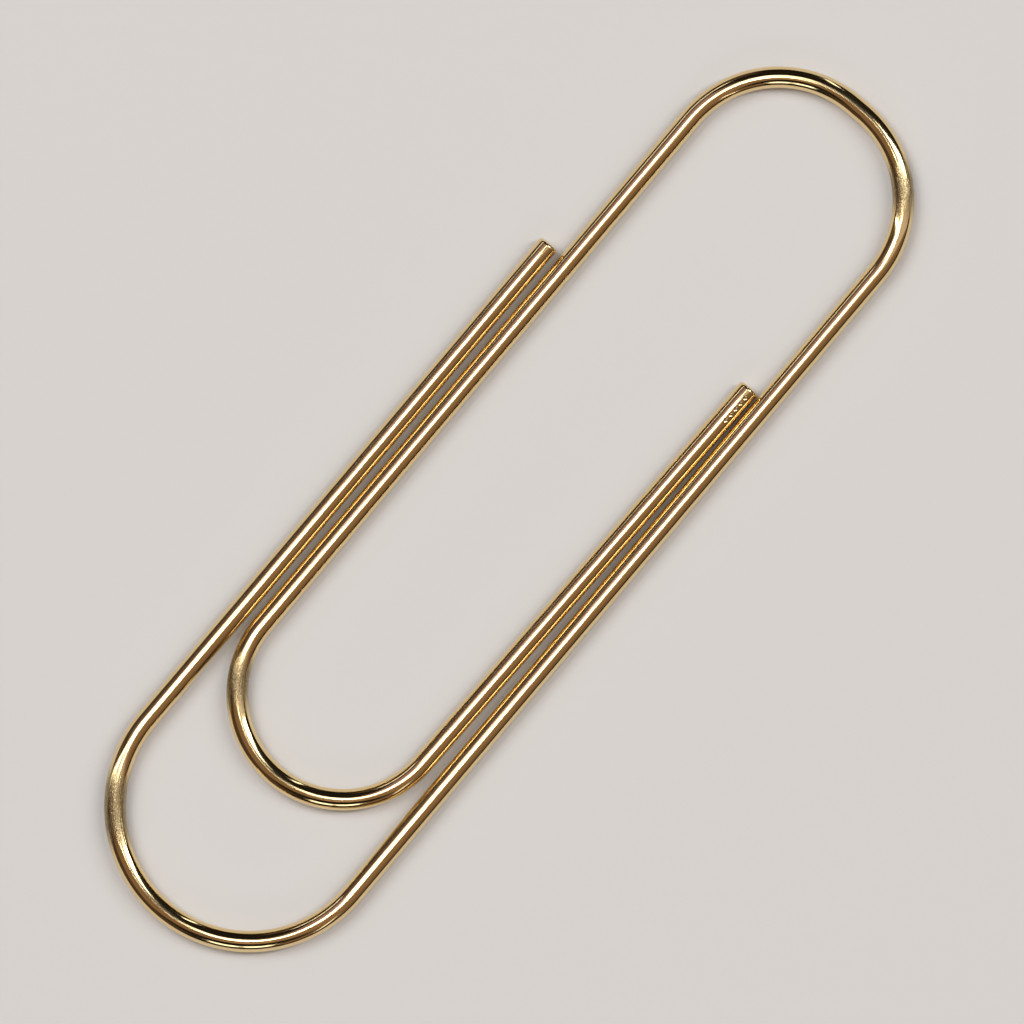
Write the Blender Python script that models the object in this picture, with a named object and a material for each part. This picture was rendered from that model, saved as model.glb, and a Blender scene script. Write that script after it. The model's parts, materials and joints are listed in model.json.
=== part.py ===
"""A flat spiral paper clip, bent from one round wire.

The wire runs in one line: outer leg, outer bend, long leg, top bend, inner leg, inner bend, tongue leg.
Each leg is a section of its own, and each bend is two half bends that meet at its crown, the middle of
the bend. A crown is where the wire twists about its own axis when a loop is lifted, so what lies past it
hangs on an empty there. The clip lies flat: X across it, Y along it towards the top bend, Z up.
"""

import math

import bmesh
import bpy
from mathutils import Matrix, Vector

MM = 0.001

# The wire
WIRE_DIAMETER = 1.0 * MM
TIP_ROUND = 0.16 * MM
WIRE_SIDES = 16
TIP_STEPS = 3
BEND_STEPS = 14

# The clip over all
OVERALL_LENGTH = 50.0 * MM
OVERALL_WIDTH = 13.45 * MM

# Straight lengths of the two free legs, from their bend to their cut tip
OUTER_LEG_LENGTH = 28.8 * MM
TONGUE_LEG_LENGTH = 23.0 * MM

# Clear spaces between neighbouring stretches of the wire
SIDE_GAP = 0.26 * MM
TONGUE_ROOT_GAP = 0.41 * MM
TONGUE_TIP_GAP = 0.08 * MM
CROWN_SPACE = 7.1 * MM

# Straight stretch in the middle of the top bend, whose crown is a little flat
TOP_FLAT = 0.6 * MM

# Slit between one section of the wire and the next
SECTION_GAP = 0.2 * MM

# Finish
GOLD_COLOUR = (0.86, 0.60, 0.32, 1.0)
GOLD_ROUGHNESS = 0.16
SMOOTH_ANGLE = math.radians(40)

# Places of the legs and bends, which follow from the sizes above
WIRE_HEIGHT = WIRE_DIAMETER / 2
LONG_LEG_X = (OVERALL_WIDTH - WIRE_DIAMETER) / 2
OUTER_LEG_X = -LONG_LEG_X
INNER_LEG_X = OUTER_LEG_X + WIRE_DIAMETER + SIDE_GAP
TONGUE_ROOT_X = LONG_LEG_X - WIRE_DIAMETER - TONGUE_ROOT_GAP
TONGUE_LEAN = math.atan((TONGUE_ROOT_GAP - TONGUE_TIP_GAP) / TONGUE_LEG_LENGTH)

TOP_RADIUS = (LONG_LEG_X - INNER_LEG_X - TOP_FLAT) / 2
OUTER_RADIUS = (LONG_LEG_X - OUTER_LEG_X) / 2
INNER_RADIUS = (TONGUE_ROOT_X - INNER_LEG_X) / 2

TOP_CROWN_Y = (OVERALL_LENGTH - WIRE_DIAMETER) / 2
OUTER_CROWN_Y = -TOP_CROWN_Y
INNER_CROWN_Y = OUTER_CROWN_Y + WIRE_DIAMETER + CROWN_SPACE
TOP_PLACE = Vector(((LONG_LEG_X + INNER_LEG_X) / 2, TOP_CROWN_Y, WIRE_HEIGHT))
OUTER_PLACE = Vector(((LONG_LEG_X + OUTER_LEG_X) / 2, OUTER_CROWN_Y, WIRE_HEIGHT))
INNER_PLACE = Vector(((TONGUE_ROOT_X + INNER_LEG_X) / 2, INNER_CROWN_Y, WIRE_HEIGHT))

# Ways to turn a half bend, which as modelled leaves its crown along +X and bends towards -Y
QUARTER_TURN = math.pi / 2
RIGHT_THEN_DOWN = (0, 0, 0)
LEFT_THEN_DOWN = (0, math.pi, 0)
RIGHT_THEN_UP = (math.pi, 0, 0)
LEFT_THEN_UP = (0, 0, math.pi)


def clear_scene():
    for obj in list(bpy.data.objects):
        bpy.data.objects.remove(obj)


def gold_finish():
    """Polished gold-coloured metal, the one finish of the whole wire."""
    finish = bpy.data.materials.new("polished_gold")
    finish.use_nodes = True
    shader = finish.node_tree.nodes["Principled BSDF"]
    shader.inputs["Base Color"].default_value = GOLD_COLOUR
    shader.inputs["Metallic"].default_value = 1.0
    shader.inputs["Roughness"].default_value = GOLD_ROUGHNESS
    finish.diffuse_color = GOLD_COLOUR
    return finish


def carrier(name, place, parent=None):
    """An empty at place, which carries the sections that move together."""
    empty = bpy.data.objects.new(name, None)
    bpy.context.scene.collection.objects.link(empty)
    empty.empty_display_size = WIRE_DIAMETER
    empty.location = place
    if parent:
        empty.parent = parent
        empty.location = place - parent.matrix_world.translation
    bpy.context.view_layer.update()
    return empty


def wire_end(bm, place, direction):
    """A filled cross-section of the wire at place, square to direction, with one flat facing down."""
    up = Vector((0, 0, 1))
    corner_radius = WIRE_DIAMETER / 2 / math.cos(math.pi / WIRE_SIDES)
    facing = Matrix((up.cross(direction), up, direction)).transposed().to_4x4()
    flat_down = Matrix.Rotation(math.pi / WIRE_SIDES - QUARTER_TURN, 4, "Z")
    made = bmesh.ops.create_circle(
        bm,
        cap_ends=True,
        segments=WIRE_SIDES,
        radius=corner_radius,
        matrix=Matrix.Translation(place) @ facing @ flat_down,
    )
    return made["verts"][0].link_faces[0]


def lengthen(bm, end_face, offset):
    """Pulls an end face of the wire along offset, and returns the new end face."""
    made = bmesh.ops.extrude_face_region(bm, geom=[end_face])["geom"]
    moved = [part for part in made if isinstance(part, bmesh.types.BMVert)]
    bmesh.ops.translate(bm, verts=moved, vec=offset)
    return next(part for part in made if isinstance(part, bmesh.types.BMFace))


def add_section(name, bm, finish, held_by, place, turn):
    """Makes a modelled section an object at place, carried by an empty."""
    bmesh.ops.recalc_face_normals(bm, faces=bm.faces)
    mesh = bpy.data.meshes.new(name)
    bm.to_mesh(mesh)
    bm.free()
    mesh.materials.append(finish)
    mesh.shade_smooth()
    mesh.set_sharp_from_angle(angle=SMOOTH_ANGLE)
    obj = bpy.data.objects.new(name, mesh)
    bpy.context.scene.collection.objects.link(obj)
    obj.parent = held_by
    obj.location = place - held_by.matrix_world.translation
    obj.rotation_euler = turn


def add_leg(name, finish, held_by, start, length, lean=0.0, cut_tip=False):
    """A straight section from start along +Y, leaning towards +X, with a rounded edge where it is cut."""
    bm = bmesh.new()
    near_end = wire_end(bm, Vector((0, 0, 0)), Vector((0, 1, 0)))
    far_end = lengthen(bm, near_end, Vector((0, length, 0)))
    if cut_tip:
        bmesh.ops.bevel(
            bm,
            geom=far_end.edges[:],
            offset=TIP_ROUND,
            segments=TIP_STEPS,
            profile=0.5,
            affect="EDGES",
        )
    add_section(name, bm, finish, held_by, start, (0, 0, -lean))


def add_half_bend(name, finish, held_by, place, radius, turn, flat=0.0, sweep=QUARTER_TURN):
    """Half a bend, from its crown at place along half of its flat and round through sweep."""
    bm = bmesh.new()
    along = Vector((1, 0, 0))
    arc_start = wire_end(bm, Vector((0, 0, 0)), along)
    if flat:
        arc_start = lengthen(bm, arc_start, along * flat / 2)
    bmesh.ops.spin(
        bm,
        geom=[arc_start, *arc_start.edges],
        cent=(flat / 2, -radius, 0),
        axis=(0, 0, 1),
        angle=-sweep,
        steps=BEND_STEPS,
        use_duplicate=False,
    )
    slit = bmesh.ops.bisect_plane(
        bm,
        geom=[*bm.verts, *bm.edges, *bm.faces],
        plane_co=along * SECTION_GAP / 2,
        plane_no=along,
        clear_inner=True,
    )
    rim = [part for part in slit["geom_cut"] if isinstance(part, bmesh.types.BMEdge)]
    bmesh.ops.edgeloop_fill(bm, edges=rim)
    add_section(name, bm, finish, held_by, place, turn)


def build_outer_loop(finish, frame):
    """The long leg with half a bend at each end, and the outer leg on its own half of the outer bend."""
    outer_hinge = carrier("outer_leg_hinge", OUTER_PLACE, frame)
    shoulder_y = OUTER_CROWN_Y + OUTER_RADIUS
    leg_start_y = shoulder_y + SECTION_GAP
    long_leg_end_y = TOP_CROWN_Y - TOP_RADIUS - SECTION_GAP
    add_leg(
        "outer_leg",
        finish,
        outer_hinge,
        Vector((OUTER_LEG_X, leg_start_y, WIRE_HEIGHT)),
        OUTER_LEG_LENGTH - SECTION_GAP,
        cut_tip=True,
    )
    add_half_bend("outer_bend_free_half", finish, outer_hinge, OUTER_PLACE, OUTER_RADIUS, LEFT_THEN_UP)
    add_half_bend("outer_bend_long_half", finish, frame, OUTER_PLACE, OUTER_RADIUS, RIGHT_THEN_UP)
    add_leg(
        "long_leg",
        finish,
        frame,
        Vector((LONG_LEG_X, leg_start_y, WIRE_HEIGHT)),
        long_leg_end_y - leg_start_y,
    )
    add_half_bend(
        "top_bend_long_half", finish, frame, TOP_PLACE, TOP_RADIUS, RIGHT_THEN_DOWN, flat=TOP_FLAT
    )


def build_tongue(finish, frame):
    """The tongue: its half of the top bend, the inner leg, the inner bend and the tongue leg."""
    tongue_hinge = carrier("tongue_hinge", TOP_PLACE, frame)
    leg_hinge = carrier("tongue_leg_hinge", INNER_PLACE, tongue_hinge)
    inner_leg_start_y = INNER_CROWN_Y + INNER_RADIUS + SECTION_GAP
    inner_leg_end_y = TOP_CROWN_Y - TOP_RADIUS - SECTION_GAP
    add_half_bend(
        "top_bend_tongue_half", finish, tongue_hinge, TOP_PLACE, TOP_RADIUS, LEFT_THEN_DOWN, flat=TOP_FLAT
    )
    add_leg(
        "inner_leg",
        finish,
        tongue_hinge,
        Vector((INNER_LEG_X, inner_leg_start_y, WIRE_HEIGHT)),
        inner_leg_end_y - inner_leg_start_y,
    )
    add_half_bend("inner_bend_tongue_half", finish, tongue_hinge, INNER_PLACE, INNER_RADIUS, LEFT_THEN_UP)

    # The free half stops short of a quarter turn, so that the tongue leg leans on towards the long leg
    sweep = QUARTER_TURN - TONGUE_LEAN
    add_half_bend(
        "inner_bend_free_half", finish, leg_hinge, INNER_PLACE, INNER_RADIUS, RIGHT_THEN_UP, sweep=sweep
    )
    leg_way = Vector((math.sin(TONGUE_LEAN), math.cos(TONGUE_LEAN), 0))
    arc_centre = INNER_PLACE + Vector((0, INNER_RADIUS, 0))
    arc_end = arc_centre + INNER_RADIUS * Vector((math.sin(sweep), -math.cos(sweep), 0))
    add_leg(
        "tongue_leg",
        finish,
        leg_hinge,
        arc_end + SECTION_GAP * leg_way,
        TONGUE_LEG_LENGTH - SECTION_GAP,
        lean=TONGUE_LEAN,
        cut_tip=True,
    )


def main():
    clear_scene()
    finish = gold_finish()
    frame = carrier("clip_frame", Vector((0, 0, 0)))
    build_outer_loop(finish, frame)
    build_tongue(finish, frame)
    bpy.context.view_layer.update()


main()
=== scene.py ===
# %% [markdown]
# # A gold paper clip
#
# The real clip is one drawn, round, polished wire of a gold colour. A machine feeds it straight, bends it
# round pins and cuts it off. A curve with a round bevel would give its shape in one go. This lesson makes it
# the machine's way instead: a ring of the wire's section is pulled straight and spun round each bend, seven
# stretches one after the other, so that every stretch starts where the last one ended. The stretches are
# separate pieces because the clip's loops lift when paper goes in: a leg moves with one body of the frame,
# and each bend is baked into place.

# %% Load the frame
import json
import math

import bmesh
import bpy
from mathutils import Matrix, Vector

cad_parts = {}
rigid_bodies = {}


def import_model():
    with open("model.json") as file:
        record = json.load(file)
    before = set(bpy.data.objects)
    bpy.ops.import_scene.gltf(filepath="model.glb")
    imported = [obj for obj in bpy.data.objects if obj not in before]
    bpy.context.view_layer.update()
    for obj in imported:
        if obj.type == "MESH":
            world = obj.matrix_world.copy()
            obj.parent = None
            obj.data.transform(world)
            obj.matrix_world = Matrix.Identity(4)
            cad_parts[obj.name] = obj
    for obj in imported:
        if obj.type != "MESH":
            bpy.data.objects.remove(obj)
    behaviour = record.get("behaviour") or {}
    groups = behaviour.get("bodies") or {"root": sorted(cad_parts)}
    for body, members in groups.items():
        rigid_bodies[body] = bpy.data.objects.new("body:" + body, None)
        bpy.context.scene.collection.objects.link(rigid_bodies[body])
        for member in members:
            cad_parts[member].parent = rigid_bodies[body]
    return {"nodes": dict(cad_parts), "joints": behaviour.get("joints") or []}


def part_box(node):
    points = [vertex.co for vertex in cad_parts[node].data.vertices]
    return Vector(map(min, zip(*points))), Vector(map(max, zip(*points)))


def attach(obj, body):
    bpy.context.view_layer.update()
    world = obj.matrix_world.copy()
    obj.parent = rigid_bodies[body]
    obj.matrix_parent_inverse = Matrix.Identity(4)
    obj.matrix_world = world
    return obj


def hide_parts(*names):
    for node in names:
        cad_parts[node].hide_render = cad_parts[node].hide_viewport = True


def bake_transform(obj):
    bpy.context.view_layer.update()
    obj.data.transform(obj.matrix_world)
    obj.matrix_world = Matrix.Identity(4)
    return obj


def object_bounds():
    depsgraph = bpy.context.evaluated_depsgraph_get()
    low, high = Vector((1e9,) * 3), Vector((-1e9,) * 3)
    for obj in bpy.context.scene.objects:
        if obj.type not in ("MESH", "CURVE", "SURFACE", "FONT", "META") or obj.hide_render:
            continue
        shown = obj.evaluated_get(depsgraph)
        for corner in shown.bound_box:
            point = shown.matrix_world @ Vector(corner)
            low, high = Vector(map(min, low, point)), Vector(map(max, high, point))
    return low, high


for leftover in list(bpy.data.objects):
    bpy.data.objects.remove(leftover)
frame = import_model()
cad_low, cad_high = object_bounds()
bpy.ops.object.select_all(action="DESELECT")
MM = 0.001
print("CAD box in mm:", [round(side / MM, 3) for side in cad_high - cad_low])

# %% [markdown]
# ## Measuring the wire
#
# Nothing is typed in that the frame already knows. A crown is the middle of a bend, and the frame's joints
# sit on the crowns. A bend's radius is the distance from its crown to its shoulder, where the straight leg
# begins, and each leg's place and direction come from its own corners.

# %% Measure the wire and its bends
crown = {joint["child"]: Vector(joint["pos_m"]) for joint in frame["joints"]}
top_crown, outer_crown, inner_crown = crown["tongue"], crown["outer_arm"], crown["tongue_arm"]
long_low, long_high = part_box("long_leg")
wire_radius = (long_high.z - long_low.z) / 2
wire_height = (long_high.z + long_low.z) / 2

outer_shoulder_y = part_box("outer_bend_long_half")[1].y
inner_shoulder_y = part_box("inner_bend_tongue_half")[1].y
top_shoulder_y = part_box("top_bend_long_half")[0].y
outer_radius = outer_shoulder_y - outer_crown.y
inner_radius = inner_shoulder_y - inner_crown.y
top_radius = top_crown.y - top_shoulder_y
print("wire radius", round(wire_radius / MM, 4), "mm")
print("bend radii", [round(r / MM, 3) for r in (outer_radius, top_radius, inner_radius)], "mm")

# %% Measure the legs
SAME_CORNER = 0.001 * MM


def measure_leg(node):
    """The centre of a leg's lower end, the way it points, and its length, from the corners of its solid."""
    # The solid is loose triangles, so corners at the same place are merged first
    solid = bmesh.new()
    solid.from_mesh(frame["nodes"][node].data)
    bmesh.ops.remove_doubles(solid, verts=solid.verts, dist=SAME_CORNER)
    corners = [vertex.co.copy() for vertex in solid.verts]
    solid.free()
    low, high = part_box(node)
    middle = (low.y + high.y) / 2
    halves = [[c for c in corners if (c.y > middle) == upper] for upper in (False, True)]
    foot, head = (sum(half, Vector()) / len(half) for half in halves)
    way = (head - foot).normalized()
    return foot, way, max((c - foot).dot(way) for c in corners)


outer_foot, outer_way, outer_reach = measure_leg("outer_leg")
tongue_foot, tongue_way, tongue_reach = measure_leg("tongue_leg")
long_foot = measure_leg("long_leg")[0]
inner_foot = measure_leg("inner_leg")[0]
wire_start = outer_foot + outer_way * outer_reach
tongue_tip = tongue_foot + tongue_way * tongue_reach
tongue_lean = math.atan2(tongue_way.x, tongue_way.y)
print("the tongue leg leans", round(math.degrees(tongue_lean), 3), "degrees")

# %% Measure the straight stretches
outer_leg_length = wire_start.y - outer_shoulder_y
long_leg_length = top_shoulder_y - outer_shoulder_y
inner_leg_length = top_shoulder_y - inner_shoulder_y
top_flat = long_foot.x - inner_foot.x - 2 * top_radius
straights = (outer_leg_length, long_leg_length, top_flat, inner_leg_length)
print("straight stretches", [round(length / MM, 3) for length in straights], "mm")

# %% [markdown]
# ## The camera
#
# The photograph looks straight down at a clip that lies at a slant. A camera without perspective could show
# that, but a photograph always has a little, so a long lens looks down from above here, turned by the same
# angle about the vertical. The clip's own length sets the width of the view, and its centre sits a little
# off the middle of the frame.

# %% Set up the camera
clip_length = cad_high.y - cad_low.y
VIEW_TURN = math.radians(40.2)
VIEW_SPAN = 0.9462 * clip_length
VIEW_SIDE = 0.00929 * clip_length
VIEW_BACK = -0.00105 * clip_length
LENS = 400.0
SENSOR = 36.0

bpy.ops.object.camera_add(
    location=(VIEW_SIDE, VIEW_BACK, wire_height + VIEW_SPAN * LENS / SENSOR),
    rotation=(0, 0, VIEW_TURN),
)
camera = bpy.context.object
camera.data.lens = LENS
camera.data.sensor_width = SENSOR
bpy.context.scene.camera = camera
print("camera", round(camera.location.z, 4), "m above the floor")

# %% [markdown]
# ## Floor and light
#
# A plain pale floor, and soft flat lamps round it. On a mirror-like wire the lamps are what one sees: the
# lamp overhead makes the white line along each leg, and the strips round it make the bright and dull
# stretches that change along each bend. A sky could be wrapped round the scene for the wire to mirror, but
# lamps can be moved one by one until each stretch is right. So each lamp is a strip between two directions
# seen from the clip. A direction is a turn from the camera's right and a lean from straight up, both in
# degrees, and a lamp's brightness is the value that it shows in a perfect mirror.

# %% Lay the floor
FLOOR_SIZE = 8.0
FLOOR_COLOUR = (0.74, 0.735, 0.72, 1.0)
FLOOR_ROUGHNESS = 0.9
FLOOR_GLOSS = 0.1

bpy.ops.object.select_all(action="DESELECT")
bpy.ops.mesh.primitive_plane_add(size=FLOOR_SIZE)
floor = bpy.context.object
floor.name = "pale_floor"
floor_finish = bpy.data.materials.new("pale_floor")
floor_finish.use_nodes = True
floor_shader = floor_finish.node_tree.nodes["Principled BSDF"]
floor_shader.inputs["Base Color"].default_value = FLOOR_COLOUR
floor_shader.inputs["Roughness"].default_value = FLOOR_ROUGHNESS
floor_shader.inputs["Specular IOR Level"].default_value = FLOOR_GLOSS
floor.data.materials.append(floor_finish)
print("floor", FLOOR_SIZE, "m wide")

# %% Hang the lamps
LAMP_DISTANCE = 2.0
NEUTRAL = (1.0, 1.0, 1.0)
WARM = (1.0, 0.64, 0.41)
ROSY = (1.0, 0.72, 0.90)
LAMPS = [
    # name, one end (turn, lean), other end (turn, lean), degrees wide, brightness, colour
    ("overhead_far", (140, 2.2), (140, 12.5), 6.4, 8.0, NEUTRAL),
    ("overhead_near", (320, 2.2), (320, 7), 6.4, 8.0, NEUTRAL),
    ("overhead_side", (166.6, 8.9), (147.6, 30.3), 5, 3.0, NEUTRAL),
    ("overhead_up", (109, 5.8), (79.4, 18.4), 8, 2.8, NEUTRAL),
    ("right_strip", (29, 21), (18, 58), 11, 8.0, NEUTRAL),
    ("left_strip", (160, 24), (168, 70), 4, 4.0, NEUTRAL),
    ("upper_left_streak", (112, 60), (138.3, 64), 4, 2.2, NEUTRAL),
    ("upper_right_streak", (60, 60), (66, 80), 3, 3.0, NEUTRAL),
    ("lower_right_streak", (305, 56), (296, 70), 3, 2.0, NEUTRAL),
    ("pane_left", (258, 53), (258, 68), 10, 2.2, NEUTRAL),
    ("pane_right", (271.5, 53), (271.5, 68), 10, 2.2, NEUTRAL),
    ("wall_far", (138, 13), (138, 40), 24, 0.32, ROSY),
    ("wall_far_low", (138, 40), (138, 58), 24, 0.11, ROSY),
    ("wall_near", (325, 6), (325, 50), 44, 0.26, WARM),
    ("wall_low", (325, 50), (325, 74), 84, 0.17, WARM),
    ("wall_right", (0, 8), (0, 72), 24, 0.34, NEUTRAL),
    ("wall_left", (200, 4), (200, 50), 44, 0.22, WARM),
    ("dim_far", (130, 58), (130, 86), 60, 0.06, WARM),
    ("dim_left", (200, 50), (200, 86), 80, 0.06, WARM),
]


def look_to(turn, lean):
    """The unit vector from the clip towards a direction."""
    turn, lean = math.radians(turn) + VIEW_TURN, math.radians(lean)
    return Vector((math.sin(lean) * math.cos(turn), math.sin(lean) * math.sin(turn), math.cos(lean)))


def hang_lamp(name, one_end, other_end, wide, brightness, colour):
    """A soft strip lamp between two directions, which faces the clip."""
    first, last = look_to(*one_end) * LAMP_DISTANCE, look_to(*other_end) * LAMP_DISTANCE
    middle = (first + last) / 2
    along, away = (last - first).normalized(), middle.normalized()
    facing = Matrix((along.cross(away), along, away)).transposed()
    bpy.ops.object.light_add(type="AREA", location=middle, rotation=facing.to_euler())
    lamp = bpy.context.object
    lamp.name = name
    lamp.visible_camera = False
    lamp.data.shape = "RECTANGLE"
    lamp.data.size = 2 * middle.length * math.tan(math.radians(wide / 2))
    lamp.data.size_y = (last - first).length
    lamp.data.color = colour
    lamp.data.energy = math.pi * brightness * lamp.data.size * lamp.data.size_y
    return lamp


for lamp_facts in LAMPS:
    lamp = hang_lamp(*lamp_facts)
    print(lamp.name, "gives", round(lamp.data.energy, 1), "W")

# %% [markdown]
# The strips are small, so they leave the floor dim. Brighter strips would light it, but they would glare in
# the wire. So one large soft lamp from the far side lights the floor and gives the clip its soft shadow, and
# the wire doesn't mirror it. The room itself is almost dark.

# %% Light the floor
FLOOR_LAMP = ("floor_lamp", (140, 20), (140, 50), 30, 4.2, NEUTRAL)
floor_lamp = hang_lamp(*FLOOR_LAMP)
floor_lamp.visible_glossy = False
print(floor_lamp.name, "gives", round(floor_lamp.data.energy, 1), "W")

# %% Dim the room
ROOM_COLOUR = (0.012, 0.010, 0.008, 1.0)
room = bpy.data.worlds.new("dim_room")
room.use_nodes = True
room.node_tree.nodes["Background"].inputs["Color"].default_value = ROOM_COLOUR
bpy.context.scene.world = room
bpy.context.scene.view_settings.view_transform = "Standard"
print("room brightness", ROOM_COLOUR[0])

# %% [markdown]
# ## The gold finish
#
# Drawing pulls the wire through a die, which leaves very fine lines along it, and tumbling then polishes it
# to a mirror. So the finish is a smooth metal with faint lengthwise lines, a little cloudiness and a trace
# of handling. Patterns on Object coordinates would run straight on where the wire turns. So every piece has
# an attribute that says where each point was on the straight wire, and the patterns read that, which takes
# them round the bends.


# %% Write shader maths as Python sums
class Signal:
    """A socket of a node tree. Sums with it add Math nodes."""

    def __init__(self, socket):
        self.socket = socket

    @staticmethod
    def node(tree, kind, settings, inputs, output=0):
        """Adds a node: its settings first, then the values or links of its sockets."""
        made = tree.nodes.new(kind)
        for name, value in settings.items():
            setattr(made, name, value)
        for name, value in inputs.items():
            if isinstance(value, Signal):
                tree.links.new(value.socket, made.inputs[name])
            else:
                made.inputs[name].default_value = value
        return Signal(made.outputs[output])

    def sum_with(self, operation, first, second):
        """Adds a Math node to this socket's own tree."""
        tree = self.socket.id_data
        return Signal.node(tree, "ShaderNodeMath", {"operation": operation}, {0: first, 1: second})

    def __add__(self, other):
        return self.sum_with("ADD", self, other)

    def __radd__(self, other):
        return self.sum_with("ADD", other, self)

    def __sub__(self, other):
        return self.sum_with("SUBTRACT", self, other)

    def __rsub__(self, other):
        return self.sum_with("SUBTRACT", other, self)

    def __mul__(self, other):
        return self.sum_with("MULTIPLY", self, other)

    def __rmul__(self, other):
        return self.sum_with("MULTIPLY", other, self)


# %% Start the gold finish
STRAIGHT_WIRE = "straight_wire"

gold_finish = bpy.data.materials.new("polished_gold")
gold_finish.use_nodes = True
tree = gold_finish.node_tree
gold_shader = tree.nodes["Principled BSDF"]
on_wire = Signal.node(tree, "ShaderNodeAttribute", {"attribute_name": STRAIGHT_WIRE}, {}, "Vector")


def wire_noise(across, along, detail):
    """Noise on the straight wire, with so many specks to a millimetre across it and along it."""
    stretched = Signal.node(
        tree, "ShaderNodeVectorMath", {"operation": "MULTIPLY"}, {0: on_wire, 1: (across, across, along)}
    )
    return Signal.node(
        tree, "ShaderNodeTexNoise", {}, {"Vector": stretched, "Scale": 1.0, "Detail": detail}, "Fac"
    )


draw_lines = wire_noise(across=16.0, along=0.5, detail=2.0)
cloudiness = wire_noise(across=3.0, along=1.2, detail=3.0)
handling = wire_noise(across=0.5, along=0.25, detail=2.0)
grain = wire_noise(across=14.0, along=7.0, detail=1.0)
print("finish so far:", len(tree.nodes), "nodes")

# %% [markdown]
# ## Dull stretches on the bends
#
# Where each bend begins to turn, the wire shows a short stretch that is dull, streaked and grainy. There its
# polish is rougher, and a dark gold is painted in as shade for the dim reflection there. The stretches could
# be painted on by hand. Here two smooth steps mark each stretch, because its place along the wire follows
# from the legs and the bends, and a step that fades shows no edge.

# %% Find the dull stretches
DULL_FADE = 1.6
outer_start = outer_leg_length
top_start = outer_start + math.pi * outer_radius + long_leg_length
inner_start = top_start + math.pi * top_radius + top_flat + inner_leg_length
along_wire = Signal.node(tree, "ShaderNodeSeparateXYZ", {}, {0: on_wire}, "Z")


def past(place):
    """Nothing on the wire before a place along it, in millimetres, and one after it."""
    ends = {"From Min": place - DULL_FADE / 2, "From Max": place + DULL_FADE / 2}
    return Signal.node(
        tree, "ShaderNodeMapRange", {"interpolation_type": "SMOOTHSTEP"}, {"Value": along_wire, **ends}
    )


def dull_stretch(bend_start, radius, first_turn, last_turn):
    """One between two turns of a bend, in degrees from where it starts, and nothing elsewhere."""
    first = bend_start + radius * math.radians(first_turn)
    last = bend_start + radius * math.radians(last_turn)
    return past(first / MM) - past(last / MM)


# Each stretch makes the polish rougher and darkens the colour below with painted shade
outer_dull_stretch = dull_stretch(outer_start, outer_radius, first_turn=27, last_turn=55)
top_dull_stretch = dull_stretch(top_start, top_radius, first_turn=36, last_turn=57)
inner_dull_stretch = dull_stretch(inner_start, inner_radius, first_turn=21, last_turn=46)
dull_and_painted_shade = outer_dull_stretch + top_dull_stretch + inner_dull_stretch
print("bends start at", [round(start / MM, 2) for start in (outer_start, top_start, inner_start)], "mm")

# %% [markdown]
# ## Colour and polish
#
# Clean wire is a bright gold, a little deeper where it is cloudy or handled. On a dull stretch a dark gold
# is painted in as shade, for its dim reflection, and its polish is rougher. Colour, roughness and bump read
# the same patterns, so they change together. The draw lines and the grain are far finer than the wire, and
# modelling them would take millions of faces, so a bump is enough.

# %% Colour the gold
GOLD = (0.90, 0.71, 0.395, 1.0)
GOLD_DEEP = (0.85, 0.635, 0.31, 1.0)
# The dark gold is painted shade: it stands for the dim reflection on the dull stretches
GOLD_PAINTED_SHADE = (0.31, 0.24, 0.13, 1.0)
CLOUD_TINT = 0.55
HANDLING_TINT = 0.45
PAINTED_SHADE_SHARE = 0.9
EVEN_MATT = 0.6
GRAINY_MATT = 0.8


def blend_colours(share, first, second):
    """A share of the second colour over the first."""
    return Signal.node(
        tree, "ShaderNodeMix", {"data_type": "RGBA"}, {0: share, "A": first, "B": second}, "Result"
    )


# Partly a rougher polish and partly painted shade on the dull stretches
matt_and_painted_shade = dull_and_painted_shade * (EVEN_MATT + GRAINY_MATT * grain)
polished = blend_colours(CLOUD_TINT * cloudiness + HANDLING_TINT * handling, GOLD, GOLD_DEEP)
# The dull stretches are darkened with painted shade
tone = blend_colours(PAINTED_SHADE_SHARE * matt_and_painted_shade, polished, GOLD_PAINTED_SHADE)
tree.links.new(tone.socket, gold_shader.inputs["Base Color"])
gold_shader.inputs["Metallic"].default_value = 1.0
print("coloured gold has", len(tree.nodes), "nodes")

# %% Polish the gold
POLISH_ROUGHNESS = 0.05
CLOUD_ROUGHNESS = 0.07
HANDLING_ROUGHNESS = 0.04
MATT_ROUGHNESS = 0.16
RELIEF_HEIGHT = 0.02 * MM
POLISHED_LINES = 0.02
DULL_STRETCH_LINES = 1.2
DULL_STRETCH_GRAIN = 0.4

worn = CLOUD_ROUGHNESS * cloudiness + HANDLING_ROUGHNESS * handling
roughness = POLISH_ROUGHNESS + worn + MATT_ROUGHNESS * matt_and_painted_shade
lines = (POLISHED_LINES + DULL_STRETCH_LINES * dull_and_painted_shade) * draw_lines
relief = lines + DULL_STRETCH_GRAIN * dull_and_painted_shade * grain
bumps = Signal.node(
    tree, "ShaderNodeBump", {}, {"Strength": 1.0, "Distance": RELIEF_HEIGHT, "Height": relief}, "Normal"
)
tree.links.new(roughness.socket, gold_shader.inputs["Roughness"])
tree.links.new(bumps.socket, gold_shader.inputs["Normal"])
print("gold finish has", len(tree.nodes), "nodes")

# %% [markdown]
# ## Feeding and bending
#
# A bending machine knows two moves: feed so much wire straight, and bend it to the left round a pin. The two
# helpers below are those moves in edit mode, an extrude and a spin of the selected end. Cylinders and tori
# could be set end to end, but then each would have to be lined up with the last. Here the end of the wire,
# its way and the length used so far are kept, and so is each move, because the straight-wire attribute is
# worked out from them.

# %% Make the two moves
WIRE_SIDES = 96
FEED_STEP = 1.0 * MM
BEND_STEP = math.radians(1.5)
UP = Vector((0, 0, 1))

wire = {"place": wire_start, "way": -outer_way, "used": 0.0, "moves": []}


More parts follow.
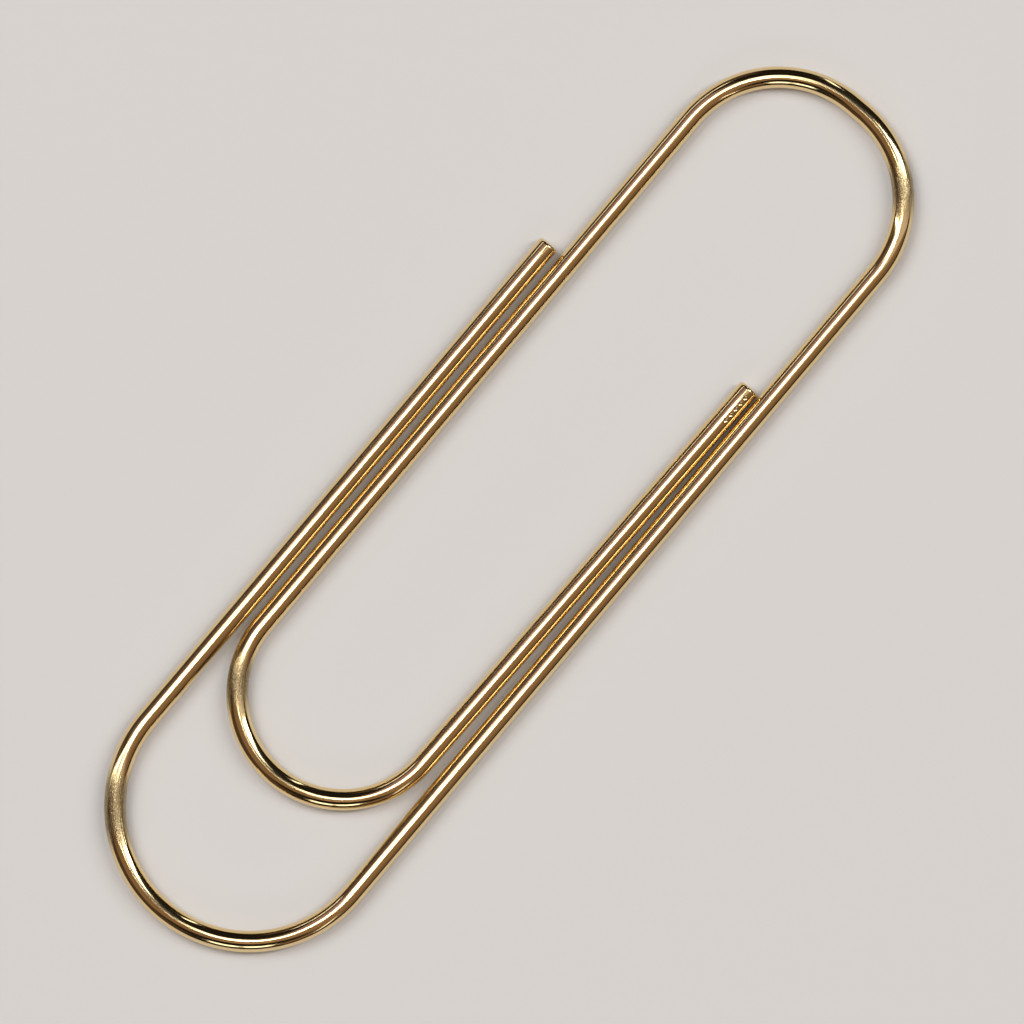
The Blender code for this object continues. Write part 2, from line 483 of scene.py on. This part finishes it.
def start_piece(name):
    """A filled ring of the wire's section where the wire has got to, in edit mode."""
    bpy.ops.object.select_all(action="DESELECT")
    facing = Matrix((UP.cross(wire["way"]), UP, wire["way"])).transposed()
    bpy.ops.mesh.primitive_circle_add(
        vertices=WIRE_SIDES,
        radius=wire_radius,
        fill_type="NGON",
        location=wire["place"],
        rotation=facing.to_euler(),
    )
    piece = bpy.context.object
    piece.name = piece.data.name = name
    bpy.ops.object.transform_apply(location=True, rotation=True, scale=True)
    bpy.ops.object.mode_set(mode="EDIT")
    wire["moves"] = []
    return piece


def feed(length, step=FEED_STEP):
    """Pulls the wire's end straight on, in short steps."""
    steps = max(1, round(length / step))
    for _ in range(steps):
        pull = wire["way"] * (length / steps)
        bpy.ops.mesh.extrude_region_move(TRANSFORM_OT_translate={"value": pull})
    wire["moves"].append(("feed", wire["place"].copy(), wire["way"].copy(), length, wire["used"]))
    wire["place"] = wire["place"] + wire["way"] * length
    wire["used"] += length


def bend(radius, sweep):
    """Spins the wire's end to the left round a pin. The operator counts its angle the other way round."""
    pin = wire["place"] + UP.cross(wire["way"]) * radius
    bpy.ops.mesh.spin(steps=round(sweep / BEND_STEP), angle=-sweep, center=pin, axis=UP)
    wire["moves"].append(("bend", pin, (wire["place"] - pin) / radius, radius, wire["used"]))
    turn = Matrix.Rotation(sweep, 3, UP)
    wire["place"] = pin + turn @ (wire["place"] - pin)
    wire["way"] = turn @ wire["way"]
    wire["used"] += radius * sweep


print("the wire starts at", [round(c / MM, 3) for c in wire["place"]], "mm")

# %% [markdown]
# ## Finishing each stretch
#
# Every stretch is finished alike: its faces are turned outwards, it is shaded smooth except at its ends, and
# each of its corners is given its place on the straight wire. A UV map could hold that place, but only as
# two numbers, and an attribute holds all three in millimetres.


# %% Unroll the wire
def straight_place(point):
    """Where a point of the piece was on the straight wire: outward, up and along, in millimetres."""
    best = None
    for kind, start, way, size, used in wire["moves"]:
        offset = Vector((point.x - start.x, point.y - start.y, 0))
        if kind == "feed":
            along = offset.dot(way)
            outward = offset.dot(way.cross(UP))
            miss = max(0, -along, along - size)
        else:
            angle = math.atan2(UP.dot(way.cross(offset)), way.dot(offset))
            along = size * angle
            outward = offset.length - size
            miss = max(0, -along)
        score = abs(outward) + miss
        if best is None or score < best[0]:
            best = (score, Vector((outward, point.z - wire_height, used + along)) / MM)
    return best[1]


# %% Finish a piece
SMOOTH_ANGLE = math.radians(25)


def finish_piece(piece):
    """Faces outwards, smooth shading, the straight-wire attribute and the gold finish."""
    bpy.ops.mesh.select_all(action="SELECT")
    bpy.ops.mesh.normals_make_consistent(inside=False)
    bpy.ops.object.mode_set(mode="OBJECT")
    bpy.ops.object.shade_smooth_by_angle(angle=SMOOTH_ANGLE)
    places = piece.data.attributes.new(STRAIGHT_WIRE, "FLOAT_VECTOR", "POINT")
    for vertex, place in zip(piece.data.vertices, places.data):
        place.vector = straight_place(vertex.co)
    piece.data.materials.append(gold_finish)
    print(piece.name, "has", len(piece.data.polygons), "faces")
    print("wire used so far:", round(wire["used"] / MM, 2), "mm")


# %% [markdown]
# ## Cut ends
#
# The wire is sheared off square and then tumbled, which leaves a flat end with a softened rim. A half ball
# would be too round. So the rim is a bevel of the end face's edges, and a narrow inset keeps the flat part
# flat under smooth shading.

# %% Soften a cut end
TIP_ROUND = 0.32 * wire_radius
TIP_SEGMENTS = 8
TIP_BORDER = 0.06 * wire_radius
ROUND_PROFILE = 0.5
END_REACH = 0.1 * wire_radius
SQUARE_ON = 0.99


def select_faces(piece, wanted):
    """Selects just the faces for which wanted is true, in edit mode, and says how many."""
    mesh = bmesh.from_edit_mesh(piece.data)
    for face in mesh.faces:
        face.select_set(False)
    chosen = [face for face in mesh.faces if wanted(face)]
    for face in chosen:
        face.select_set(True)
    mesh.select_flush_mode()
    bmesh.update_edit_mesh(piece.data)
    return len(chosen)


def soften_tip(piece, place, way):
    """Rounds the rim of the end face at place, which faces along way."""

    def is_end(face):
        faces_along = face.normal.dot(way) ** 2 > SQUARE_ON
        return faces_along and (face.calc_center_median() - place).length < END_REACH

    print("end faces found:", select_faces(piece, is_end))
    bpy.ops.mesh.bevel(offset=TIP_ROUND, segments=TIP_SEGMENTS, profile=ROUND_PROFILE, affect="EDGES")
    select_faces(piece, is_end)
    bpy.ops.mesh.inset(thickness=TIP_BORDER, depth=0)


print("rims of cut ends are rounded by", round(TIP_ROUND / MM, 3), "mm")

# %% [markdown]
# ## The outer leg
#
# The free leg on the outside of the clip. It starts at its cut end and runs down to the large bend. A long
# cylinder would have the same shape, but a feed in short steps gives it even rings. It stops a little short
# of the bend: the seam between two pieces then lies on straight wire, where both have the same surface and
# the seam can't be seen.

# %% Form the outer leg
SHOULDER = 0.7 * wire_radius

outer_leg = start_piece("outer_leg_wire")
feed(outer_leg_length - SHOULDER)
soften_tip(outer_leg, wire_start, outer_way)
finish_piece(outer_leg)

# %% [markdown]
# ## The outer bend
#
# The large bend at the bottom: a half circle with a short straight shoulder at each end. Half a torus would
# do for the circle, but a spin goes on from the shoulder itself, so no seam has to be closed.

# %% Form the outer bend
outer_bend = start_piece("outer_bend_wire")
feed(SHOULDER, SHOULDER)
bend(outer_radius, math.pi)
feed(SHOULDER, SHOULDER)
finish_piece(outer_bend)

# %% [markdown]
# ## The long leg
#
# The longest straight stretch, along the other side of the clip. It is a single feed, from one shoulder to
# the next, because nothing on it changes the wire.

# %% Form the long leg
long_leg = start_piece("long_leg_wire")
feed(long_leg_length - 2 * SHOULDER)
finish_piece(long_leg)

# %% [markdown]
# ## The top bend
#
# This bend is a little flat in the middle. A half circle stretched sideways would be flat there too, but its
# wire would no longer be round. So it is made of two quarter turns with a short feed between them.

# %% Form the top bend
top_bend = start_piece("top_bend_wire")
feed(SHOULDER, SHOULDER)
bend(top_radius, math.pi / 2)
feed(top_flat, top_flat / 2)
bend(top_radius, math.pi / 2)
feed(SHOULDER, SHOULDER)
finish_piece(top_bend)

# %% [markdown]
# ## The inner leg
#
# The tongue's straight leg, close beside the outer leg. A shorter copy of the long leg could be moved here,
# but a feed of its own also goes on counting the wire, which the patterns of the finish need.

# %% Form the inner leg
inner_leg = start_piece("inner_leg_wire")
feed(inner_leg_length - 2 * SHOULDER)
finish_piece(inner_leg)

# %% [markdown]
# ## The inner bend
#
# The small bend at the end of the tongue. The last leg leans towards the long leg. Turning that leg by
# itself would leave a kink, so the bend stops short of a half turn and the leg goes straight on from it.

# %% Form the inner bend
inner_bend = start_piece("inner_bend_wire")
feed(SHOULDER, SHOULDER)
bend(inner_radius, math.pi - tongue_lean)
feed(SHOULDER, SHOULDER)
finish_piece(inner_bend)

# %% [markdown]
# ## The tongue leg
#
# The free leg inside the clip, which ends in the second cut end. Near that end it carries a plain row of
# dots, as a centre punch makes them. Dots drawn in the finish would look flat from the side. A punch leaves
# a round hollow, so spheres are laid in a row on the wire and cut out of it with a Boolean modifier.

# %% Form the tongue leg
tongue_leg_length = (tongue_tip - wire["place"]).dot(wire["way"])
tongue_leg = start_piece("tongue_leg_wire")
feed(tongue_leg_length)
soften_tip(tongue_leg, wire["place"], wire["way"])
bpy.ops.object.mode_set(mode="OBJECT")
print("tip is", round((wire["place"] - tongue_tip).length / MM, 4), "mm from the CAD tip")

# %% Lay the punch dots
DOT_COUNT = 5
DOT_WIDTH = 0.5 * wire_radius
DOT_DEPTH = 0.08 * wire_radius
DOT_PITCH = 0.68 * wire_radius
DOTS_FROM_TIP = 2.4 * wire_radius
DOTS_LEAN = math.radians(18)
BALL_SEGMENTS = 48
BALL_RINGS = 32
ball_radius = ((DOT_WIDTH / 2) ** 2 + DOT_DEPTH**2) / (2 * DOT_DEPTH)
ball_height = wire_radius + ball_radius - DOT_DEPTH
dots_way = UP * math.cos(DOTS_LEAN) + tongue_way.cross(UP) * math.sin(DOTS_LEAN)
balls_middle = tongue_tip - tongue_way * DOTS_FROM_TIP + dots_way * ball_height

bpy.ops.object.select_all(action="DESELECT")
balls = []
for index in range(DOT_COUNT):
    step = (index - (DOT_COUNT - 1) / 2) * DOT_PITCH
    bpy.ops.mesh.primitive_uv_sphere_add(
        segments=BALL_SEGMENTS,
        ring_count=BALL_RINGS,
        radius=ball_radius,
        location=balls_middle + tongue_way * step,
    )
    balls.append(bpy.context.object)
for ball in balls:
    ball.select_set(True)
bpy.ops.object.join()
punch = bpy.context.object
print("punch of", DOT_COUNT, "balls,", round(ball_radius / MM, 3), "mm in radius")

# %% Punch the dots
cut = tongue_leg.modifiers.new("punch_dots", "BOOLEAN")
cut.operation = "DIFFERENCE"
cut.solver = "EXACT"
cut.object = punch
bpy.ops.object.select_all(action="DESELECT")
bpy.context.view_layer.objects.active = tongue_leg
tongue_leg.select_set(True)
bpy.ops.object.modifier_apply(modifier=cut.name)
bpy.data.objects.remove(punch)
bpy.ops.object.mode_set(mode="EDIT")
finish_piece(tongue_leg)

# %% [markdown]
# ## Riding on the frame
#
# Each leg rides on its body. The real wire twists in the bends when a loop is lifted, and a bend that rode
# on one body alone would tear away from the other's leg. Here each bend is baked into place and rides on no
# body. All of them stand for the plain solids.

# %% Hang the pieces on their bodies
for leg, body, node in (
    (outer_leg, "outer_arm", "outer_leg"),
    (long_leg, "outer_loop", "long_leg"),
    (inner_leg, "tongue", "inner_leg"),
    (tongue_leg, "tongue_arm", "tongue_leg"),
):
    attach(leg, body)
    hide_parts(node)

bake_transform(outer_bend)
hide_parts("outer_bend_free_half", "outer_bend_long_half")
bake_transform(top_bend)
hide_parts("top_bend_long_half", "top_bend_tongue_half")
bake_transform(inner_bend)
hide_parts("inner_bend_tongue_half", "inner_bend_free_half")
